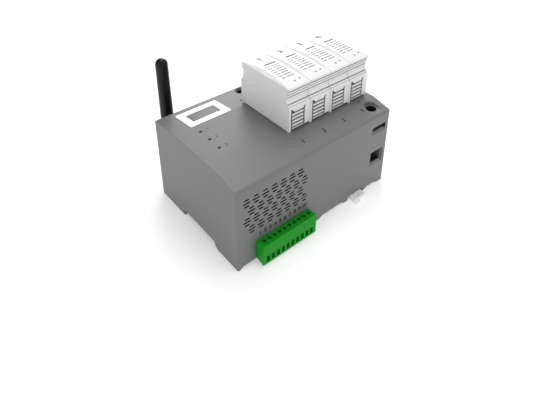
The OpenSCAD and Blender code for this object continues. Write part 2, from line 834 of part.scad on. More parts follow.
// Wire clamps inside the plug: a small frame under each screw
module plug_clamps() {
    color("#C8CBD0") in_frame() for (i = [0:plug_poles - 1]) translate([plug_pole(i), 0, 0]) difference() {
        block([-1.5, -plug_out + 1.7, clamp_z()], [1.5, -fit_gap - 1.2, plug_z + 8.4]);
        block([-0.9, -plug_out, clamp_z() + 0.6], [0.9, 0, plug_z + 6]);
        translate([0, well_y(), plug_z + 4]) cylinder(h = 6, r = plug_thread_r, $fn = fine);
    }
}

module plug_screws() {
    color("#9EA2A8") in_frame() for (i = [0:plug_poles - 1])
        translate([plug_pole(i), well_y(), plug_z]) difference() {
            union() {
                translate([0, 0, 6]) cylinder(h = plug_h - plug_head_z - 6, r = plug_thread_r, $fn = fine);
                translate([0, 0, plug_h - plug_head_z])
                    cylinder(h = plug_head_h, r = well_r - 0.05, $fn = fine);
            }
            translate([-well_r, -0.25, plug_h - plug_head_z + plug_head_h - 0.8]) cube([2 * well_r, 0.5, 2]);
        }
}

// Moulded block under the crown: one well per cartridge, with slots for its blades
module cartridge_socket() {
    x0 = block_x - 1.5;
    x1 = body_w - wall;
    y0 = foot_y - well_rim;
    y1 = foot_y + foot_d + well_rim;
    color("#4A4A4A") in_frame() difference() {
        union() {
            block([x0, y0, socket_z], [x1, y1, crown_h - wall]);
            for (p = ear_at) socket_ear(p, y0, y1);
        }
        // The back edge stays below the facet
        along_x(x0 - over, x1 + over) polygon([
            [body_d - facet_d, crown_h - wall], [body_d, edge_h - wall], [body_d, crown_h]
        ]);
        for (i = [1:poles]) {
            block([pole_x(i) - foot_w / 2 - fit_gap, foot_y - fit_gap, well_z],
                  [pole_x(i) + foot_w / 2 + fit_gap, foot_y + foot_d + fit_gap, crown_h]);
            for (y = blade_rows()) {
                block([pole_x(i) - clip_gap / 2, y - blade_w / 2 - fit_gap, socket_z - over],
                      [pole_x(i) + clip_gap / 2, y + blade_w / 2 + fit_gap, well_z + over]);
                block([pole_x(i) - clip_gap / 2 - clip_wall, y - blade_w / 2 - 0.4, socket_z - over],
                      [pole_x(i) + clip_gap / 2 + clip_wall, y + blade_w / 2 + 0.4, clip_head]);
            }
        }
        for (p = ear_at)
            translate([p[0], p[1], ear_z - over]) cylinder(h = ear_t + 2, r = 1.4, $fn = fine);
    }
}
function blade_rows() = [foot_y + blade_inset, foot_y + foot_d - blade_inset];

// A flat ear between the socket's wall and the boss that carries it
module socket_ear(p, y0, y1) {
    translate([p[0], p[1], ear_z]) cylinder(h = ear_t, r = ear_r, $fn = fine);
    if (p[1] < y0)
        block([p[0] - ear_r, p[1], ear_z], [p[0] + ear_r, y0 + over, ear_z + ear_t]);
    else
        block([p[0] - ear_r, y1 - over, ear_z], [p[0] + ear_r, p[1], ear_z + ear_t]);
}

module socket_screws() {
    color("#B9BCC0") in_frame() for (p = ear_at) translate([p[0], p[1], ear_z]) {
        translate([0, 0, -1.8]) cylinder(h = 1.8, r = ear_screw_r, $fn = fine);
        cylinder(h = ear_t + screw_len, r = 1.1, $fn = fine);
    }
}

// Spring contacts that grip the cartridges' blades
module contact_clips() {
    color("#C08A50") in_frame() for (i = [1:poles], y = blade_rows())
        translate([pole_x(i), y - blade_w / 2, 0]) {
            half = clip_gap / 2 + clip_wall;
            block([-half, 0, clip_z], [half, blade_w, clip_z + clip_wall]);
            block([-half, 0, clip_z], [-clip_gap / 2, blade_w, clip_head]);
            block([clip_gap / 2, 0, clip_z], [half, blade_w, clip_head]);
        }
}

// Side view of a strip that runs from a contact down to its terminal
module link_outline(y_in, y_drop, y_tip) {
    s = y_tip > y_drop ? 1 : -1;
    polygon([
        [y_in, link_z], [y_in, clip_z], [y_drop + s * link_t, clip_z],
        [y_drop + s * link_t, tongue_z + link_t], [y_tip, tongue_z + link_t],
        [y_tip, tongue_z], [y_drop, tongue_z], [y_drop, link_z]
    ]);
}

module line_links() {
    back = blade_rows()[1];
    wall_in = body_d - wall - fit_gap - tower_d;
    color("#C08A50") in_frame() for (i = [1:poles])
        along_x(line_x(i) - tongue_half(), line_x(i) + tongue_half())
            link_outline(back - blade_w / 2, wall_in - 2 * link_t, line_y + tongue_tip);
}

module earth_link() {
    front = blade_rows()[0];
    wall_in = wall + fit_gap + tower_d;
    color("#C08A50") in_frame() {
        block([pole_x(1) - 3, front - blade_w / 2, link_z], [pole_x(poles) + 5, front + blade_w / 2, clip_z]);
        along_x(earth_x - tongue_half(), earth_x + tongue_half())
            link_outline(front, wall_in + 2 * link_t, earth_y - tongue_tip);
    }
}

// Clamp cage: open to the wire and to the link, with a threaded hole above
module cage(x, y) {
    translate([x, y, tower_floor]) difference() {
        translate([-cage_w / 2, -cage_d / 2, 0]) cube([cage_w, cage_d, cage_h]);
        translate([-cage_w / 2 + cage_wall, -cage_d, 1.5])
            cube([cage_w - 2 * cage_wall, 2 * cage_d, cage_h - 2.9]);
        translate([0, 0, 5]) cylinder(h = cage_h, r = screw_r, $fn = fine);
    }
}
module line_cages() {
    color("#B4B6B8") in_frame() for (i = [1:poles]) cage(line_x(i), line_y);
}
module earth_cage() {
    color("#B4B6B8") in_frame() cage(earth_x, earth_y);
}

// Terminal screw with a crossed head, its tip on the link
module terminal_screw(x, y) {
    translate([x, y, 0]) difference() {
        union() {
            translate([0, 0, tongue_z + link_t])
                cylinder(h = screw_head_z - tongue_z - link_t, r = screw_r, $fn = fine);
            translate([0, 0, screw_head_z]) cylinder(h = screw_head_h, r = screw_head_r, $fn = fine);
        }
        for (a = [0, 90]) rotate([0, 0, a])
            translate([-2.4, -0.5, screw_head_z + screw_head_h - 1.8]) cube([4.8, 1, 3]);
    }
}
module line_screws() {
    color("#C8CBD0") in_frame() for (i = [1:poles]) terminal_screw(line_x(i), line_y);
}
module earth_screw() {
    color("#C8CBD0") in_frame() terminal_screw(earth_x, earth_y);
}

// Side view of a cartridge: finger grooves front and back under an arched top
module cartridge_outline() {
    side = [
        [0, 0], [0, 17.6], [2, 19.7], [2.8, 19.7], [2.8, 20.1], [2.3, 20.1], [2.5, 20.8], [2.5, 25.4],
        [3.1, 25.4], [3.1, 25.8], [2.2, 25.8], [1.5, 26.3], [1.5, 27], [2, 27], [2, 27.4], [1.5, 27.4],
        [1.5, 28.9], [1.9, 28.9], [1.9, 29.3], [0.7, 29.3], [0.7, cart_edge_h + cart_arch]
    ];
    mid = cart_d / 2;
    half = mid - 0.7;
    arch_r = (pow(half, 2) + pow(cart_arch, 2)) / (2 * cart_arch);
    intersection() {
        polygon(concat(side, [for (k = [len(side) - 1:-1:0]) [cart_d - side[k][0], side[k][1]]]));
        translate([mid, cart_edge_h + cart_arch - arch_r]) circle(arch_r, $fn = 360);
    }
}

// Front view of a cartridge: bevels along the two long top edges
module cartridge_front() {
    bevel_w = 1.4;
    bevel_h = 2.2;
    top = cart_edge_h + cart_arch;
    polygon([
        [0, 0], [0, top - bevel_h], [bevel_w, top], [cart_w - bevel_w, top],
        [cart_w, top - bevel_h], [cart_w, 0]
    ]);
}

// Latch on the front: a ribbed panel between two slots that flare at the top
module latch_cuts() {
    slot_d = 3;
    groove_d = 2.4;
    groove_h = 1.2;
    rib_pitch = 2.65;
    first_z = 2;
    along_y(-over, slot_d) {
        polygon([[1.6, over], [2.6, over], [2.6, 13.4], [4.6, 12.4], [4.6, 13.4], [2.6, 16], [1.6, 16]]);
        polygon([
            [12.1, over], [13.1, over], [13.1, 13], [13.6, 15.8], [12.9, 15.8], [11.2, 13], [12.1, 12.6]
        ]);
    }
    for (k = [0:4])
        block([2.5, -over, first_z + k * rib_pitch], [12.2, groove_d, first_z + k * rib_pitch + groove_h]);
    // The face stops above the crown; only a tab at its left reaches down
    block([1.6, -over, -over], [cart_w + over, undercut_d, undercut_h]);
}

module cartridge(i) {
    hollow_w = foot_w - 2 * cart_wall;
    hollow_d = foot_d - 2 * cart_wall;
    color("#F1F1EF") in_frame() difference() {
        union() {
            translate([pole_x(i) - cart_w / 2, cart_front, cart_z]) {
                difference() {
                    intersection() {
                        along_x(0, cart_w) cartridge_outline();
                        along_y(0, cart_d) cartridge_front();
                    }
                    latch_cuts();
                }
                block([0, 0, -0.3], [1.6, undercut_d, over]);
            }
            block([pole_x(i) - foot_w / 2, foot_y, foot_z],
                  [pole_x(i) + foot_w / 2, foot_y + foot_d, cart_z + over]);
        }
        block([pole_x(i) - hollow_w / 2, foot_y + cart_wall, foot_z - over],
              [pole_x(i) + hollow_w / 2, foot_y + foot_d - cart_wall, cavity_top]);
    }
}

module cartridge_base(i) {
    hollow_w = foot_w - 2 * cart_wall;
    hollow_d = foot_d - 2 * cart_wall;
    color("#D9D9D6") in_frame() difference() {
        block([pole_x(i) - hollow_w / 2, foot_y + cart_wall, foot_z],
              [pole_x(i) + hollow_w / 2, foot_y + cart_wall + hollow_d, foot_z + base_t]);
        for (y = blade_rows())
            block([pole_x(i) - blade_t / 2, y - blade_w / 2, foot_z - over],
                  [pole_x(i) + blade_t / 2, y + blade_w / 2, foot_z + base_t + over]);
    }
}

module cartridge_blades(i) {
    tip = 1.6;
    color("#C9A24A") in_frame() for (y = blade_rows())
        along_x(pole_x(i) - blade_t / 2, pole_x(i) + blade_t / 2) polygon([
            [y - blade_w / 2, blade_top], [y - blade_w / 2, blade_z + tip],
            [y - blade_w / 2 + tip, blade_z], [y + blade_w / 2 - tip, blade_z],
            [y + blade_w / 2, blade_z + tip], [y + blade_w / 2, blade_top]
        ]);
}

// Square varistor that stands on the cartridge's base, beside the blades
module varistor(i) {
    side = foot_d - 2 * (cart_wall + blade_inset - 0.7);
    tall = cavity_top - foot_z - base_t - 2;
    thick = foot_w / 2 - cart_wall - blade_t / 2 - 0.8;
    color("#2F4E8C") in_frame()
        translate([pole_x(i) + blade_t / 2, foot_y + (foot_d - side) / 2, foot_z + base_t])
            along_x(0, thick) rounded_rect(side, tall, 3);
}

module antenna_connector() {
    color("#C9A24A") in_frame() translate([antenna_x, 0, hinge_z]) {
        translate([0, body_d - wall - 6, 0]) lay_y() cylinder(h = 4.4, r = 2.2, $fn = fine);
        translate([0, body_d - wall - 2, 0]) lay_y() cylinder(h = 2, r = 4.6, $fn = 6);
        translate([0, body_d - wall, 0]) lay_y()
            cylinder(h = wall + 2.4 + collar_l / 2, r = thread_r, $fn = fine);
    }
}

module antenna_nut() {
    color("#C9A24A") in_frame() translate([antenna_x, body_d, hinge_z]) lay_y() difference() {
        cylinder(h = 2.2, r = 4.6, $fn = 6);
        translate([0, 0, -over]) cylinder(h = 5, r = thread_r, $fn = fine);
    }
}

// Coupling ring, screwed onto the connector; the elbow's neck turns in its far end
module antenna_collar() {
    flutes = 20;
    color("#1C1C1C") in_frame() translate([antenna_x, collar_y, hinge_z]) lay_y() difference() {
        cylinder(h = collar_l, r = collar_r, $fn = fine);
        translate([0, 0, -over]) cylinder(h = collar_l / 2 + 0.9, r = thread_r, $fn = fine);
        translate([0, 0, collar_l / 2 - 0.2])
            cylinder(h = collar_l, r = thread_r + hinge_gap, $fn = fine);
        for (k = [0:flutes - 1]) rotate([0, 0, k * 360 / flutes])
            translate([collar_r + 0.25, 0, 1]) cylinder(h = collar_l - 2, r = 0.5, $fn = 16);
    }
}

// Elbow: a neck that turns in the collar and two cheeks that hold the hinge pin
module antenna_elbow() {
    neck_y = collar_y + collar_l / 2 + 0.3;
    web_y = hinge_y - knuckle_r - 0.5;
    half = tongue_w / 2 + fit_gap;
    color("#1C1C1C") in_frame() translate([antenna_x, 0, hinge_z]) difference() {
        union() {
            translate([0, neck_y, 0]) lay_y() cylinder(h = web_y - neck_y, r = thread_r, $fn = fine);
            intersection() {
                block([-half - cheek_w, collar_y + collar_l + 0.3, -knuckle_r],
                      [half + cheek_w, hinge_y + knuckle_r, knuckle_r]);
                union() {
                    block([-20, 0, -20], [20, hinge_y, 20]);
                    translate([-20, hinge_y, 0]) lay_x() cylinder(h = 40, r = knuckle_r, $fn = fine);
                }
            }
        }
        block([-half, web_y, -10], [half, hinge_y + 10, 10]);
        translate([-20, hinge_y, 0]) lay_x() cylinder(h = 40, r = pin_radius, $fn = fine);
    }
}

module antenna_pin() {
    half = tongue_w / 2 + fit_gap + cheek_w;
    color("#B9BCC0") in_frame() translate([antenna_x - half, hinge_y, hinge_z])
        lay_x() cylinder(h = 2 * half, r = pin_radius, $fn = fine);
}

// Whip: a tongue for the hinge, then a slightly tapered rod with a domed tip
module antenna_whip() {
    start = knuckle_r + 0.9;
    color("#1A1A1A") in_frame() translate([antenna_x, hinge_y, hinge_z]) difference() {
        union() {
            translate([-tongue_w / 2, 0, 0]) lay_x() cylinder(h = tongue_w, r = knuckle_r - 0.2, $fn = fine);
            block([-tongue_w / 2, -3, 0], [tongue_w / 2, 3, start + over]);
            rotate_extrude($fn = fine) {
                polygon([
                    [0, start], [whip_r - 0.6, start], [whip_r, start + 0.6],
                    [whip_tip_r, whip_l - whip_tip_r], [0, whip_l - whip_tip_r]
                ]);
                intersection() {
                    translate([0, whip_l - whip_tip_r]) circle(whip_tip_r, $fn = fine);
                    translate([0, whip_l - whip_tip_r - 0.01]) square(2 * whip_tip_r);
                }
            }
        }
        translate([-10, 0, 0]) lay_x() cylinder(h = 20, r = pin_radius + hinge_gap, $fn = fine);
    }
}

housing();
base_plate();
base_screws();
din_clip();
clip_spring();
display_bezel();
display_window();
display_panel();
light_pipes();
display_board();
board_screws();
terminal_board();
plug_socket();
socket_pins();
terminal_plug();
plug_clamps();
plug_screws();
cartridge_socket();
socket_screws();
contact_clips();
line_links();
earth_link();
line_cages();
earth_cage();
line_screws();
earth_screw();
for (i = [1:poles]) {
    cartridge(i);
    cartridge_base(i);
    cartridge_blades(i);
    varistor(i);
}
antenna_connector();
antenna_nut();
antenna_collar();
antenna_elbow();
antenna_pin();
antenna_whip();
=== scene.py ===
"""Looks of the rail-mounted data collector with its four plug-in surge cartridges.

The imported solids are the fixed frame. This script gives each of them its finish, adds the
detail pieces, and sets the camera, floor and light. Where a comment says nothing else, sizes
are in millimetres and places are measured from the left front foot of the housing.
"""

import math

import bmesh
import bpy
from mathutils import Matrix, Vector


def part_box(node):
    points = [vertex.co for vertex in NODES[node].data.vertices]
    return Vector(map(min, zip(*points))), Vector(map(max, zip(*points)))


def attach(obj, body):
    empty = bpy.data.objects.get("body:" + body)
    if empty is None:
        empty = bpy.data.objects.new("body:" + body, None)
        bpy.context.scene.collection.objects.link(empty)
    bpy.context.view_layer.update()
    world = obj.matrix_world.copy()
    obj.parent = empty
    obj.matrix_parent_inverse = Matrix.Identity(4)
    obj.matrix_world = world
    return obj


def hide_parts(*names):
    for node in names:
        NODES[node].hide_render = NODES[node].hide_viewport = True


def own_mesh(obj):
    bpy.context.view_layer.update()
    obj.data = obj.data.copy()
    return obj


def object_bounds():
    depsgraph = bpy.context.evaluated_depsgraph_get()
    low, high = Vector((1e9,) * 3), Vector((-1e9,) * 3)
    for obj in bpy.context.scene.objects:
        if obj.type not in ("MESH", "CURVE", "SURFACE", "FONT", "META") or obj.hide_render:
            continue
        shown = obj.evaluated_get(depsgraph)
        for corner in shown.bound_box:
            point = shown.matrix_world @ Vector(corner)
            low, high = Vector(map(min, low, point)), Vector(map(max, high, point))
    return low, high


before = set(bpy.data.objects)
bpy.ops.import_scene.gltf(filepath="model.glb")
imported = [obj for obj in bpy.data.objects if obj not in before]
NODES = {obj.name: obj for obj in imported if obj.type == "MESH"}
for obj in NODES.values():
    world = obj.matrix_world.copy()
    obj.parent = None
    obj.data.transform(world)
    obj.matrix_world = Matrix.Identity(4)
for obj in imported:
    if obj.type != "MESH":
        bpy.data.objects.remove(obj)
CAD_BOX = [list(corner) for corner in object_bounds()]

MM = 0.001
# The row frame's origin, measured from the left front foot of the housing
ORIGIN = -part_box("housing")[0] / MM

POLES = 4
PLUG_POLES = 10
PITCH = 18.0
PLUG_PITCH = 3.96

# Outside of the housing
BODY_W, BODY_D, BODY_H = (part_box("housing")[1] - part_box("housing")[0]) / MM
# Height of its front and back top edges
EDGE_H = 61.0
# Where the front slope of its top starts and ends, and where the back slope starts
SLOPE_FOOT, SLOPE_HEAD, FACET_FOOT = 3.0, 15.0, 64.2
# Depth of a cartridge's foot below its visible underside
FOOT_DEPTH = 7.6


def place(x, y, z):
    """A point measured from the left front foot, in the row frame in metres."""
    return (Vector((x, y, z)) - ORIGIN) * MM


def in_mm(point):
    """A point of the row frame, in metres, measured from the left front foot."""
    return Vector(point) / MM + ORIGIN


def between(value, span):
    """Tells a value that lies inside a span of two values."""
    return span[0] < value < span[1]


def linear(hex_colour):
    """Turns an sRGB hex colour into the linear RGBA that a shader wants."""
    channels = [int(hex_colour[i:i + 2], 16) / 255 for i in (1, 3, 5)]
    return [c / 12.92 if c <= 0.04045 else ((c + 0.055) / 1.055) ** 2.4 for c in channels] + [1.0]


def add_node(tree, kind, inputs=None, links=None, **settings):
    """Adds one shader node: settings are its properties, inputs its values, links its sources."""
    made = tree.nodes.new(kind)
    for name, value in settings.items():
        setattr(made, name, value)
    for name, value in (inputs or {}).items():
        made.inputs[name].default_value = value
    for name, source in (links or {}).items():
        tree.links.new(source, made.inputs[name])
    return made


def new_material(name):
    """An empty node material, and its tree."""
    material = bpy.data.materials.new(name)
    material.use_nodes = True
    tree = material.node_tree
    tree.nodes.clear()
    return material, tree


def moulded(name, colour, roughness=0.5, grain=0.35, depth=0.02, ior=1.53, drift=0.03, **surface):
    """Moulded plastic: a fine eroded grain from the mould, and a faint drift of tone.

    grain is the size of the texture's bumps and depth their height, drift a share of the tone."""
    tone_size, uneven = 40.0, 0.05
    material, tree = new_material(name)
    where = add_node(tree, "ShaderNodeTexCoord").outputs["Object"]
    tone = add_node(tree, "ShaderNodeTexNoise", {"Scale": 1 / (tone_size * MM), "Detail": 2.0},
                    {"Vector": where})
    base = linear(colour)
    low = [max(0.0, c * (1 - drift)) for c in base[:3]] + [1.0]
    high = [min(1.0, c * (1 + drift)) for c in base[:3]] + [1.0]
    ramp = add_node(tree, "ShaderNodeMix", {"A": low, "B": high},
                    {"Factor": tone.outputs["Fac"]}, data_type="RGBA")
    bumps = add_node(tree, "ShaderNodeTexNoise",
                     {"Scale": 1 / (grain * MM), "Detail": 3.0, "Roughness": 0.6},
                     {"Vector": where})
    sheen = add_node(tree, "ShaderNodeMapRange",
                     {"To Min": roughness - uneven, "To Max": roughness + uneven},
                     {"Value": bumps.outputs["Fac"]})
    bump = add_node(tree, "ShaderNodeBump", {"Strength": 0.6, "Distance": depth * MM},
                    {"Height": bumps.outputs["Fac"]})
    shader = add_node(tree, "ShaderNodeBsdfPrincipled", {"IOR": ior, **surface},
                      {"Base Color": ramp.outputs["Result"], "Roughness": sheen.outputs["Result"],
                       "Normal": bump.outputs["Normal"]})
    add_node(tree, "ShaderNodeOutputMaterial", None, {"Surface": shader.outputs["BSDF"]})
    return material


def metal(name, colour, roughness, scratch=0.15):
    """Plated or bare metal: fine scratches from drawing and stamping, scratch wide."""
    depth, rubbed, dulled = 0.004, 0.08, 0.12
    material, tree = new_material(name)
    where = add_node(tree, "ShaderNodeTexCoord").outputs["Object"]
    stretch = add_node(tree, "ShaderNodeMapping", {"Scale": (1.0, 0.15, 1.0)}, {"Vector": where})
    marks = add_node(tree, "ShaderNodeTexNoise", {"Scale": 1 / (scratch * MM), "Detail": 4.0},
                     {"Vector": stretch.outputs["Vector"]})
    sheen = add_node(tree, "ShaderNodeMapRange",
                     {"To Min": roughness - rubbed, "To Max": roughness + dulled},
                     {"Value": marks.outputs["Fac"]})
    bump = add_node(tree, "ShaderNodeBump", {"Strength": 0.4, "Distance": depth * MM},
                    {"Height": marks.outputs["Fac"]})
    shader = add_node(tree, "ShaderNodeBsdfPrincipled",
                      {"Base Color": linear(colour), "Metallic": 1.0},
                      {"Roughness": sheen.outputs["Result"], "Normal": bump.outputs["Normal"]})
    add_node(tree, "ShaderNodeOutputMaterial", None, {"Surface": shader.outputs["BSDF"]})
    return material


def display_glass(name, light_colour, dark_colour):
    """Liquid-crystal display under coated acrylic, switched off: grey-silver and smooth.

    The tone drifts slowly over the pane, as the polariser film under it does."""
    drift_size, haze_size = 14.0, 3.0
    material, tree = new_material(name)
    where = add_node(tree, "ShaderNodeTexCoord").outputs["Object"]
    drift = add_node(tree, "ShaderNodeTexNoise", {"Scale": 1 / (drift_size * MM), "Detail": 1.0},
                     {"Vector": where})
    tone = add_node(tree, "ShaderNodeMix", {"A": linear(dark_colour), "B": linear(light_colour)},
                    {"Factor": drift.outputs["Fac"]}, data_type="RGBA")
    haze = add_node(tree, "ShaderNodeTexNoise", {"Scale": 1 / (haze_size * MM), "Detail": 2.0},
                    {"Vector": where})
    sheen = add_node(tree, "ShaderNodeMapRange", {"To Min": 0.12, "To Max": 0.2},
                     {"Value": haze.outputs["Fac"]})
    shader = add_node(tree, "ShaderNodeBsdfPrincipled", {"IOR": 1.49, "Specular IOR Level": 0.15},
                      {"Base Color": tone.outputs["Result"], "Roughness": sheen.outputs["Result"]})
    add_node(tree, "ShaderNodeOutputMaterial", None, {"Surface": shader.outputs["BSDF"]})
    return material


# Matt grey flame-retardant ABS from a spark-eroded mould: dull, slightly granular
HOUSING_GREY = moulded("housing_abs_grey", "#6C6C6C", 0.48, 0.45, 0.015)
# The same ABS on the rounded front edge, smoother, and painted paler as a painted highlight
BROW_PAINTED_HIGHLIGHT = moulded("housing_abs_edge_painted_highlight", "#808080", 0.4, 0.45, 0.008)
# The same ABS in a darker batch, seen from below
BASE_GREY = moulded("base_abs_dark_grey", "#5E5E5E", 0.6, 0.5, 0.03)
# Painted shade: the inside of the housing, seen through its slots, painted near-black as if unlit
INSIDE_PAINTED_SHADE = moulded("housing_inside_painted_shade", "#060606", 0.8, 0.5, 0.02)
# Natural nylon of the clip, uncoloured: milky, lets a little light in
CLIP_NYLON = moulded("clip_nylon_natural", "#F0F0EC", 0.42, 0.6,
                     **{"Subsurface Weight": 0.35, "Subsurface Radius": (0.003, 0.003, 0.0025)})
# White ABS of the display frame, fine satin
FRAME_WHITE = moulded("frame_abs_white", "#FFFFFF", 0.4, 0.4, 0.012)
# White PBT of the cartridges, satin with a soft sheen
CARTRIDGE_WHITE = moulded("cartridge_pbt_white", "#DFDFDE", 0.45, 0.4, 0.012)
# The bevelled flanks of a cartridge's top: the same white, smoother, and painted paler as painted
# light
FLANK_PAINTED_LIGHT = moulded("cartridge_pbt_flank_painted_light", "#F2F2F1", 0.35, 0.4, 0.006)
# Bottom of the narrow grooves of a cartridge, where little light reaches
GROOVE_SHADE = moulded("cartridge_groove_shade", "#A6A6A5", 0.7, 0.4, 0.01)
# The faintest lines of a cartridge's front, half lit
LINE_SHADE = moulded("cartridge_line_shade", "#ACACAB", 0.6, 0.4, 0.01)
# Painted shade in the scored lines of a cartridge's front, the narrowest grooves
SCORE_SHADE = moulded("cartridge_score_shade", "#868685", 0.7, 0.4, 0.01)
# Green nylon of the plug and its socket: smooth, nearly without gloss
PLUG_GREEN = moulded("plug_nylon_green", "#098C14", 0.46, 0.5, 0.01, drift=0.05,
                     **{"Specular IOR Level": 0.12})
# Dark nylon of the block that holds the contacts
SOCKET_DARK = moulded("socket_nylon_dark", "#3A3A3A", 0.55, 0.5, 0.02)
# Black rubbery overmould of the antenna, satin
ANTENNA_BLACK = moulded("antenna_tpe_black", "#070707", 0.32, 0.3, 0.006, 1.5,
                        **{"Specular IOR Level": 0.25})
# Green solder resist over glass-fibre board
BOARD_GREEN = moulded("board_solder_resist", "#12502A", 0.3, 0.8, 0.01)
# Grey reflective display under its pane
PANEL_GREY = moulded("display_grey_green", "#8E938C", 0.35, 0.3, 0.004)
# The display as it shows through its pane: the pane is drawn opaque, in the display's tone
PANE_GREY = display_glass("display_lcd_grey", "#636361", "#4A4A48")
# Smoked polycarbonate of the status lights, black while they are off
PIPE_SMOKED = moulded("light_pipe_pc_smoked", "#050506", 0.3, 0.5, 0.004, 1.58, 0.02,
                      **{"Specular IOR Level": 0.2})
# Blue epoxy that a varistor is dipped in
VARISTOR_BLUE = moulded("varistor_epoxy_blue", "#20418C", 0.25, 1.5, 0.05)
# Zinc-plated steel: pale and slightly blue
ZINC_STEEL = metal("screw_zinc_steel", "#C4C6CA", 0.32)
# Drawn spring wire
SPRING_WIRE = metal("spring_steel_wire", "#B8BABE", 0.28, 0.1)
# Bare brass of the contacts
BRASS = metal("contact_brass", "#CDAE6A", 0.28)
# Rolled copper strip
COPPER = metal("strip_copper", "#C88A62", 0.34)
# Pad print in grey and in black: a thin matt ink film
PRINT_GREY = moulded("pad_print_grey", "#6E6E6E", 0.7, 0.2, 0.002, drift=0.08)
PRINT_BLACK = moulded("pad_print_black", "#1B1B1B", 0.65, 0.2, 0.002, drift=0.08)

FINISHES = {
    "housing": HOUSING_GREY, "base_plate": BASE_GREY, "base_screws": ZINC_STEEL,
    "din_clip": CLIP_NYLON, "clip_spring": SPRING_WIRE, "display_bezel": FRAME_WHITE,
    "display_window": PANE_GREY, "display_panel": PANEL_GREY, "light_pipes": PIPE_SMOKED,
    "display_board": BOARD_GREEN, "board_screws": ZINC_STEEL, "terminal_board": BOARD_GREEN,
    "plug_socket": PLUG_GREEN, "socket_pins": BRASS, "terminal_plug": PLUG_GREEN,
    "plug_clamps": ZINC_STEEL, "plug_screws": ZINC_STEEL, "cartridge_socket": SOCKET_DARK,
    "socket_screws": ZINC_STEEL, "contact_clips": COPPER, "line_links": COPPER,
    "earth_link": COPPER, "line_cages": ZINC_STEEL, "earth_cage": ZINC_STEEL,
    "line_screws": ZINC_STEEL, "earth_screw": ZINC_STEEL, "antenna_connector": BRASS,
    "antenna_nut": BRASS, "antenna_collar": ANTENNA_BLACK, "antenna_elbow": ANTENNA_BLACK,
    "antenna_pin": ZINC_STEEL, "antenna_whip": ANTENNA_BLACK,
}
for number in range(1, POLES + 1):
    FINISHES[f"cartridge_{number}"] = CARTRIDGE_WHITE
    FINISHES[f"cartridge_base_{number}"] = CARTRIDGE_WHITE
    FINISHES[f"cartridge_blades_{number}"] = BRASS
    FINISHES[f"varistor_{number}"] = VARISTOR_BLUE


def dress(piece, material):
    """Gives a piece one finish in place of the colours it has."""
    piece.data.materials.clear()
    piece.data.materials.append(material)


for node_name, node_object in NODES.items():
    dress(node_object, FINISHES[node_name])


def only(piece):
    """Selects one piece alone and makes it active."""
    bpy.ops.object.select_all(action="DESELECT")
    piece.select_set(True)
    bpy.context.view_layer.objects.active = piece


def new_piece(name, mesh):
    """A new piece at the origin with a mesh of its own."""
    piece = bpy.data.objects.new(name, mesh)
    bpy.context.scene.collection.objects.link(piece)
    return piece


def joined_copy(node, name):
    """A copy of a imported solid, its loose triangles joined into flat faces, in place of it."""
    weld, flatness = 0.002, 0.5
    piece = new_piece(name, NODES[node].data.copy())
    only(piece)
    bpy.ops.mesh.customdata_custom_splitnormals_clear()
    bpy.ops.object.mode_set(mode="EDIT")
    bpy.ops.mesh.select_all(action="SELECT")
    bpy.ops.mesh.remove_doubles(threshold=weld * MM)
    bpy.ops.mesh.dissolve_limited(angle_limit=math.radians(flatness))
    bpy.ops.object.mode_set(mode="OBJECT")
    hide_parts(node)
    return piece


def pick(piece, kind, wanted):
    """Opens a piece for editing with only the wanted edges or faces selected."""
    only(piece)
    bpy.ops.object.mode_set(mode="EDIT")
    bpy.ops.mesh.select_mode(type=kind)
    bpy.ops.mesh.select_all(action="DESELECT")
    shape = bmesh.from_edit_mesh(piece.data)
    shape.normal_update()
    for part in shape.edges if kind == "EDGE" else shape.faces:
        if wanted(part):
            part.select_set(True)
    bmesh.update_edit_mesh(piece.data)


def edge_middle(edge):
    """Middle of an edge."""
    return in_mm((edge.verts[0].co + edge.verts[1].co) / 2)


def face_middle(face):
    """Middle of a face that is open for editing."""
    return in_mm(face.calc_center_median())


def is_corner(edge):
    """Tells an outside corner from a step on a round or a hollow corner."""
    least_turn = 25.0
    return (len(edge.link_faces) == 2 and edge.is_convex
            and edge.calc_face_angle(0.0) > math.radians(least_turn))


def round_edges(piece, wanted, radius, segments=2):
    """Rounds the wanted edges of a piece."""
    pick(piece, "EDGE", wanted)
    bpy.ops.mesh.bevel(offset=radius * MM, segments=segments, affect="EDGES", clamp_overlap=False)
    bpy.ops.object.mode_set(mode="OBJECT")


def cut(piece, wanted, *planes):
    """Cuts the wanted faces of a piece along planes, each an axis and a place on it."""
    for axis, value in planes:
        pick(piece, "FACE", wanted)
        normal = Vector((axis == "x", axis == "y", axis == "z"))
        bpy.ops.mesh.bisect(plane_co=place(value, value, value), plane_no=normal)
        bpy.ops.object.mode_set(mode="OBJECT")


def score(piece, wanted, span_x, span_z, depth):
    """Scores a fine groove into the wanted upright faces of a piece, over a span each way."""
    cut(piece, wanted, ("z", span_z[0]), ("z", span_z[1]), ("x", span_x[0]), ("x", span_x[1]))

    def in_groove(face):
        p = face_middle(face)
        return wanted(face) and between(p.x, span_x) and between(p.z, span_z)

    pick(piece, "FACE", in_groove)
    bpy.ops.mesh.inset(thickness=0.0, depth=-depth * MM, use_boundary=True)
    bpy.ops.object.mode_set(mode="OBJECT")


def smooth(piece, angle=35.0):
    """Shades rounds smoothly, up to an angle in degrees, and keeps the large faces flat."""
    only(piece)
    bpy.ops.object.shade_smooth_by_angle(angle=math.radians(angle))
    weigh = piece.modifiers.new("flat_faces", "WEIGHTED_NORMAL")
    weigh.keep_sharp = True
    bpy.ops.object.modifier_apply(modifier=weigh.name)


def paint(piece, materials, choose):
    """Gives each face of a piece one of several finishes, chosen by its middle and normal."""
    piece.data.materials.clear()
    for material in materials:
        piece.data.materials.append(material)
    for face in piece.data.polygons:
        face.material_index = choose(in_mm(face.center), face.normal)


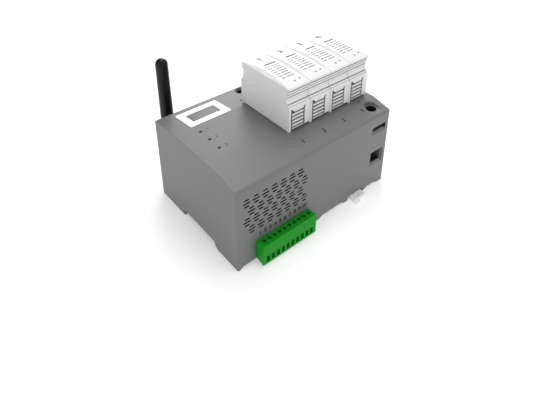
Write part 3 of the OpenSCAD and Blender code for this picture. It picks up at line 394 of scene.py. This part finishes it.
def top_height(y):
    """Height of the housing's top face at a distance from the front wall."""
    if y < SLOPE_FOOT:
        return EDGE_H
    if y < SLOPE_HEAD:
        return EDGE_H + (BODY_H - EDGE_H) * (y - SLOPE_FOOT) / (SLOPE_HEAD - SLOPE_FOOT)
    if y < FACET_FOOT:
        return BODY_H
    return BODY_H - (BODY_H - EDGE_H) * (y - FACET_FOOT) / (BODY_D - FACET_FOOT)


def make_housing():
    """The moulded hood, edges broken as a mould leaves them; painted shade inside, painted highlight
    on its brow.
    """
    hood = joined_copy("housing", "housing_shell")
    near, skin = 0.02, 0.05
    brow_round, corner_round = 0.6, 0.25
    wall, wall_foot = 2.0, 6.0
    vents_x, vents_z, vents_deep = (3, 53), (24, 54), 3
    # The slot high on the front wall; above the shade's line its inside is painted shade
    slot_x, slot_y, slot_z, slot_shade = (113, 130), (skin, 2.3), (46.3, 53), 47.9
    # Finishes of the hood's faces: its own grey, painted shade, and a painted highlight
    grey, dark, pale = range(3)

    def in_vents(p):
        return p.y < vents_deep and between(p.x, vents_x) and between(p.z, vents_z)

    def in_slot(p):
        return between(p.x, slot_x) and between(p.y, slot_y) and between(p.z, slot_z)

    def on_skin(p):
        return (p.x < near or p.x > BODY_W - near or p.y < near or p.y > BODY_D - near
                or p.z > top_height(p.y) - near)

    def on_brow(edge):
        p = edge_middle(edge)
        return is_corner(edge) and p.y < near and p.z > EDGE_H - near

    def on_outside(edge):
        p = edge_middle(edge)
        return is_corner(edge) and on_skin(p) and not in_vents(p)

    round_edges(hood, on_brow, brow_round, 4)
    round_edges(hood, on_outside, corner_round)
    cut(hood, lambda face: in_slot(face_middle(face)), ("z", slot_shade))

    def choose(p, normal):
        inside = (wall < p.y < BODY_D - wall and wall < p.x < BODY_W - wall
                  and wall_foot < p.z < top_height(p.y) - wall)
        shaded = in_slot(p) and p.z > slot_shade and normal.z > -0.5
        # Faces of the rounded front edge take the painted highlight
        rounded = p.y < brow_round and p.z > EDGE_H - brow_round and 0.05 < -normal.y < 0.98
        if rounded and abs(normal.x) < 0.1:
            return pale
        return dark if inside or shaded or (in_vents(p) and p.y > skin) else grey

    paint(hood, [HOUSING_GREY, INSIDE_PAINTED_SHADE, BROW_PAINTED_HIGHLIGHT], choose)
    smooth(hood)
    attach(hood, "base")


# The first pole's cartridge: its low and high corners, and the height of its visible underside
LOW, HIGH = (in_mm(corner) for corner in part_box("cartridge_1"))
UNDERSIDE = LOW.z + FOOT_DEPTH
# Heights above that underside over which only the arched top, and only its flanks, lie
LID_FOOT, FLANK_FOOT = 30, 30.75

# Finishes of a cartridge, in the order of its materials
CARTRIDGE_FINISHES = [CARTRIDGE_WHITE, GROOVE_SHADE, LINE_SHADE, PRINT_GREY, PRINT_BLACK,
                      SCORE_SHADE, FLANK_PAINTED_LIGHT]
WHITE, SHADE, LINE, GREY_INK, BLACK_INK, SCORED, FLANK = range(len(CARTRIDGE_FINISHES))

# Grooves across its front and back: foot above the underside, height, finish and depth; those
# without a depth are notches that the imported solid has, or only a line of painted shade
GROOVES = (
    (28.0, 0.6, SCORED, 0.35), (26.4, 0.45, SHADE, 0.0), (23.65, 0.55, SCORED, 0.35),
    (22.1, 0.3, LINE, 0.0), (19.1, 0.55, SHADE, 0.0), (17.95, 0.3, LINE, 0.0),
)

# Marks on its top: a heading bar, two small squares and two columns of ruled rows. Each is a
# span across and a span backwards from the left front corner, and bold or not
TOP_MARKS = [((5.6, 14.6), (30.2, 31.6), True), ((8.7, 10.1), (5.3, 6.5), False),
             ((13.1, 14.5), (5.9, 7.1), False)]
RULED_ROWS, FIRST_ROW, ROW_PITCH, ROW_THICK = 7, 11.4, 2.6, 0.8
for ruled_row in range(RULED_ROWS):
    row_y = FIRST_ROW + ROW_PITCH * ruled_row
    for column in ((3.9, 6.9), (8.1, 13.9)):
        TOP_MARKS.append((column, (row_y, row_y + ROW_THICK), False))


def from_end(p):
    """Distance of a point from the nearer end of the cartridge, front or back."""
    return min(p.y - LOW.y, HIGH.y - p.y)


def shift_notch(piece, heights, depths, outward, down):
    """Moves a notch at both ends of the cartridge, found by its heights above the underside
    and its depths from the end, outward and down."""
    for vertex in piece.data.vertices:
        p = in_mm(vertex.co)
        if between(p.z - UNDERSIDE, heights) and between(from_end(p), depths):
            facing = -1 if p.y - LOW.y < HIGH.y - p.y else 1
            vertex.co += Vector((0, facing * outward, -down)) * MM


def breaks_on_cartridge(edge):
    """Tells an edge of the cartridge that its mould leaves slightly round."""
    grip_head, ledge = 19, (26.2, 26.9)
    least_up, shortest = 0.1, 0.9
    p = edge_middle(edge)
    up = p.z - UNDERSIDE
    upright = abs((edge.verts[0].co - edge.verts[1].co).z) > 0.9 * edge.calc_length()
    # The bevelled flank narrows to nothing at both ends, where there is no room for a round
    flank_tip, side_in = 4.5, 0.2
    beside = not LOW.x + side_in < p.x < HIGH.x - side_in
    on_flank = up > FLANK_FOOT and (from_end(p) < flank_tip or beside)
    return (is_corner(edge) and up > least_up and edge.calc_length() > shortest * MM
            and not (upright and up < grip_head) and not between(up, ledge) and not on_flank)


def groove_ends(piece):
    """Scores the grooves of both ends, and cuts the faint lines out of the faces there."""
    lowest, side_in = 16.5, 0.35
    across = (LOW.x + side_in, HIGH.x - side_in)

    def on_end(face):
        return abs(face.normal.y) > 0.5 and face_middle(face).z > UNDERSIDE + lowest

    for foot, tall, finish, depth in GROOVES:
        heights = (UNDERSIDE + foot, UNDERSIDE + foot + tall)
        if depth:
            score(piece, lambda face: on_end(face) and face.normal.y < -0.9, across, heights, depth)
            score(piece, lambda face: on_end(face) and face.normal.y > 0.9, across, heights, depth)
        elif finish == LINE:
            cut(piece, on_end, ("z", heights[0]), ("z", heights[1]))


def outline_top_marks(piece):
    """Cuts the top's faces along the sides of its marks."""
    def on_top(face):
        return face.normal.z > 0.8 and face_middle(face).z > UNDERSIDE + LID_FOOT

    for axis, corner, which in (("x", LOW.x, 0), ("y", LOW.y, 1)):
        places = sorted({value for mark in TOP_MARKS for value in mark[which]})
        cut(piece, on_top, *((axis, corner + value) for value in places))


def cartridge_finish(p, normal):
    """Finish of a face of the cartridge, by its middle and normal."""
    # The grip: a sunk field of ribs low on the front, the hollows between its ribs in painted shade
    grip_x, grip_y, grip_z, rib_skin = (1.5, 13.8), (0.25, 3.2), (0.1, 16.2), 0.3
    lid_end, groove_deep, slack = 0.9, 3.2, 0.05
    from_left, from_front, up = p.x - LOW.x, p.y - LOW.y, p.z - UNDERSIDE
    # The top's bevelled flanks take the same white painted paler: painted light
    if up > FLANK_FOOT - slack and from_end(p) > lid_end and 0.5 < abs(normal.x) < 0.95:
        return FLANK
    if up > LID_FOOT and normal.z > 0.8:
        for span_x, span_y, bold in TOP_MARKS:
            if between(from_left, span_x) and between(from_front, span_y):
                return BLACK_INK if bold else GREY_INK
    if between(from_front, grip_y) and between(from_left, grip_x) and between(up, grip_z):
        return WHITE if normal.y < -0.9 and from_front < rib_skin else SHADE
    for foot, tall, finish, depth in GROOVES:
        level = (foot - slack, foot + tall + slack)
        reached = from_end(p) > lid_end or finish == LINE
        if between(up, level) and abs(normal.x) < 0.9 and reached and from_end(p) < groove_deep:
            return finish
    return WHITE


def make_cartridges():
    """One cartridge with broken edges, grooves and plain marks, copied for each pole."""
    first = joined_copy("cartridge_1", "plug_in_cartridge_1")
    shift_notch(first, heights=(26.9, 27.5), depths=(1.4, 2.1), outward=0.0, down=0.6)
    shift_notch(first, heights=(19.6, 20.2), depths=(1.9, 2.9), outward=0.5, down=0.55)
    round_edges(first, breaks_on_cartridge, radius=0.15)
    groove_ends(first)
    outline_top_marks(first)
    smooth(first, angle=30.0)
    paint(first, CARTRIDGE_FINISHES, cartridge_finish)
    for number in range(1, POLES + 1):
        piece = first
        if number > 1:
            piece = new_piece(f"plug_in_cartridge_{number}", first.data.copy())
            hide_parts(f"cartridge_{number}")
        piece.data.transform(Matrix.Translation(((number - 1) * PITCH * MM, 0, 0)))
        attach(piece, f"plug_in_{number}")


def make_moulding(node, name, radius, material, body, round_to=math.inf):
    """A moulded piece in one finish, its edges broken as far back as round_to."""
    piece = joined_copy(node, name)
    round_edges(piece, lambda edge: is_corner(edge) and edge_middle(edge).y < round_to, radius)
    dress(piece, material)
    smooth(piece)
    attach(piece, body)


def make_plug():
    """The green plug with its edges broken outside the front wall."""
    make_moulding("terminal_plug", "green_plug", 0.15, PLUG_GREEN, "plug", round_to=0)


def make_small_parts():
    """Display frame, clip and antenna."""
    make_moulding("display_bezel", "display_frame", 0.2, FRAME_WHITE, "base")
    # The clip runs in a close channel behind the front wall, so only its tab is rounded
    make_moulding("din_clip", "rail_clip", 0.2, CLIP_NYLON, "clip", round_to=3)
    make_moulding("antenna_collar", "antenna_ring", 0.2, ANTENNA_BLACK, "base")
    make_moulding("antenna_elbow", "antenna_joint", 0.2, ANTENNA_BLACK, "elbow")
    make_moulding("antenna_whip", "antenna_rod", 0.3, ANTENNA_BLACK, "whip")


def make_clip_coil():
    """The clip's spring, which shortens as the clip is pulled."""
    coil = joined_copy("clip_spring", "clip_coil")
    dress(coil, SPRING_WIRE)
    smooth(coil, angle=60.0)
    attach(coil, "base")
    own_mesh(coil)


def numeral(name, text, height, centre, turn, ink, bold):
    """One printed numeral: a flat film, its middle at a point, turned to lie on its face.

    bold is how much each stroke is thickened to each side."""
    film, weld, figure_share = 0.02, 0.003, 0.7
    bpy.ops.object.select_all(action="DESELECT")
    bpy.ops.object.text_add(location=(0, 0, 0))
    mark = bpy.context.object
    mark.name = name
    mark.data.body = text
    mark.data.align_x = "CENTER"
    mark.data.align_y = "CENTER"
    mark.data.size = height / figure_share * MM
    mark.data.extrude = film / 2 * MM
    mark.data.offset = bold * MM
    bpy.ops.object.convert(target="MESH")
    bpy.ops.object.mode_set(mode="EDIT")
    bpy.ops.mesh.select_all(action="SELECT")
    bpy.ops.mesh.remove_doubles(threshold=weld * MM)
    bpy.ops.mesh.dissolve_degenerate(threshold=weld * MM)
    bpy.ops.object.mode_set(mode="OBJECT")
    mark.data.transform(Matrix.Translation(place(*centre)) @ turn)
    dress(mark, ink)
    return mark


def number_plug_poles():
    """Numerals on the front wall over the plug."""
    first_x, row_z, height, bold = 16.9, 20.9, 2.9, 0.22
    upright = Matrix.Rotation(math.radians(90), 4, "X")
    for k in range(PLUG_POLES):
        # A six is a nine turned upside down: thickened, the font's own six loses its outline
        six = k + 1 == 6
        turn = upright @ Matrix.Rotation(math.pi if six else 0.0, 4, "Z")
        mark = numeral(f"pole_numeral_{k + 1}", "9" if six else str(k + 1), height,
                       (first_x + PLUG_PITCH * k, 0, row_z), turn, PRINT_BLACK, bold)
        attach(mark, "base")


def number_lights():
    """Numerals beside the status lights."""
    beside_x, height, bold = 20.0, 2.2, 0.05
    for k, y in enumerate((56.9, 46.7, 36.0)):
        mark = numeral(f"light_numeral_{k + 1}", str(k + 1), height, (beside_x, y, BODY_H),
                       Matrix.Identity(4), PRINT_BLACK, bold)
        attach(mark, "base")


def number_place(k):
    """Numeral on the housing's front slope before a cartridge."""
    first_x, y, height, bold = 59.2, 9.6, 3.2, 0.15
    slope = Matrix.Rotation(math.atan2(BODY_H - EDGE_H, SLOPE_HEAD - SLOPE_FOOT), 4, "X")
    mark = numeral(f"place_numeral_{k + 1}", str(k + 1), height,
                   (first_x + PITCH * k, y, top_height(y)), slope, PRINT_BLACK, bold)
    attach(mark, "base")


def number_cartridge(k):
    """Numeral on a cartridge's arched top, near its back."""
    from_left, from_front, height, bold = 9.6, 41.0, 4.6, 0.4
    # The top's arch: its rise, and how far in from each end it starts
    arch_rise, lid_in = 2.3, 0.7
    middle_y = (HIGH.y - LOW.y) / 2
    arch_r = ((middle_y - lid_in) ** 2 + arch_rise ** 2) / (2 * arch_rise)
    beyond = from_front - middle_y
    on_arch = Matrix.Rotation(-math.asin(beyond / arch_r), 4, "X")
    point = (LOW.x + from_left + PITCH * k, LOW.y + from_front,
             HIGH.z - arch_r + math.sqrt(arch_r ** 2 - beyond ** 2))
    mark = numeral(f"cartridge_numeral_{k + 1}", str(k + 1), height, point, on_arch, PRINT_GREY, bold)
    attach(mark, f"plug_in_{k + 1}")


def make_floor():
    """A plain pale floor under the feet: a light table, which glows a little itself."""
    fibre_size = 3.0
    bpy.ops.object.select_all(action="DESELECT")
    bpy.ops.mesh.primitive_plane_add(size=12.0, location=(0, 0, CAD_BOX[0][2]))
    floor = bpy.context.object
    floor.name = "floor"
    material, tree = new_material("floor_pale_paper")
    where = add_node(tree, "ShaderNodeTexCoord").outputs["Object"]
    fibre = add_node(tree, "ShaderNodeTexNoise", {"Scale": 1 / (fibre_size * MM), "Detail": 3.0},
                     {"Vector": where})
    sheen = add_node(tree, "ShaderNodeMapRange", {"To Min": 0.75, "To Max": 0.85},
                     {"Value": fibre.outputs["Fac"]})
    shader = add_node(tree, "ShaderNodeBsdfPrincipled",
                      {"Base Color": linear("#E8E8E8"), "Emission Color": linear("#FFFFFF"),
                       "Emission Strength": 0.32},
                      {"Roughness": sheen.outputs["Result"]})
    add_node(tree, "ShaderNodeOutputMaterial", None, {"Surface": shader.outputs["BSDF"]})
    floor.data.materials.append(material)


def make_camera():
    """The photo's view: angles and distance were fitted to the housing's own corners."""
    azimuth, elevation = math.radians(-39.585), math.radians(28.145)
    aim, distance = (57.611, 40.0, 105.527), 318.073
    # The picture's size, the focal length and the optical axis's row, in pixels
    width_px, height_px, focal_px, axis_row = 540, 405, 516.854, 62.759
    sensor = 36.0
    back = Vector((math.sin(azimuth) * math.cos(elevation),
                   -math.cos(azimuth) * math.cos(elevation), math.sin(elevation)))
    right = Vector((math.cos(azimuth), math.sin(azimuth), 0))
    up = back.cross(right)
    eye = place(*aim) + back * distance * MM
    data = bpy.data.cameras.new("photo_camera")
    data.sensor_width = sensor
    data.lens = focal_px / width_px * sensor
    data.shift_y = -(height_px / 2 - axis_row) / width_px
    data.clip_start = 0.01
    camera = bpy.data.objects.new("photo_camera", data)
    camera.matrix_world = Matrix((
        (right.x, up.x, back.x, eye.x), (right.y, up.y, back.y, eye.y),
        (right.z, up.z, back.z, eye.z), (0, 0, 0, 1)))
    bpy.context.scene.collection.objects.link(camera)
    bpy.context.scene.camera = camera


def add_light(name, position, target_z, size, power):
    """A square soft box that looks at the object's middle: metres and watts."""
    data = bpy.data.lights.new(name, "AREA")
    data.shape = "SQUARE"
    data.size = size
    data.energy = power
    light = bpy.data.objects.new(name, data)
    light.location = position
    look = Vector((0, 0, target_z)) - Vector(position)
    light.rotation_euler = look.to_track_quat("-Z", "Y").to_euler()
    bpy.context.scene.collection.objects.link(light)


def make_light():
    """Plain studio light: a pale surround and six soft boxes, the strongest above and behind."""
    world = bpy.data.worlds.new("studio")
    world.use_nodes = True
    tree = world.node_tree
    tree.nodes.clear()
    sky = add_node(tree, "ShaderNodeBackground", {"Color": linear("#FFFFFF"), "Strength": 0.28})
    add_node(tree, "ShaderNodeOutputWorld", None, {"Surface": sky.outputs["Background"]})
    bpy.context.scene.world = world
    # Each box: name, place, height of the point that it looks at, size and power
    for soft_box in (
        ("top_box", (0.1, 0.1, 0.95), 0.03, 0.6, 3.5),
        ("high_back_box", (0.42, 0.45, 0.75), 0.03, 0.6, 2.3),
        ("high_right_box", (0.4, -0.45, 0.75), 0.03, 0.6, 1.7),
        ("left_box", (-0.9, -0.1, 0.35), 0.05, 0.5, 2.6),
        ("back_box", (0.6, 0.8, 0.34), 0.05, 0.5, 3.7),
        ("front_box", (0.0, -0.9, 0.4), 0.03, 0.6, 2.1),
    ):
        add_light(*soft_box)
    bpy.context.scene.view_settings.view_transform = "Standard"


make_housing()
make_cartridges()
make_plug()
make_small_parts()
make_clip_coil()
number_plug_poles()
number_lights()
for pole in range(POLES):
    number_place(pole)
    number_cartridge(pole)
make_camera()
make_light()
make_floor()
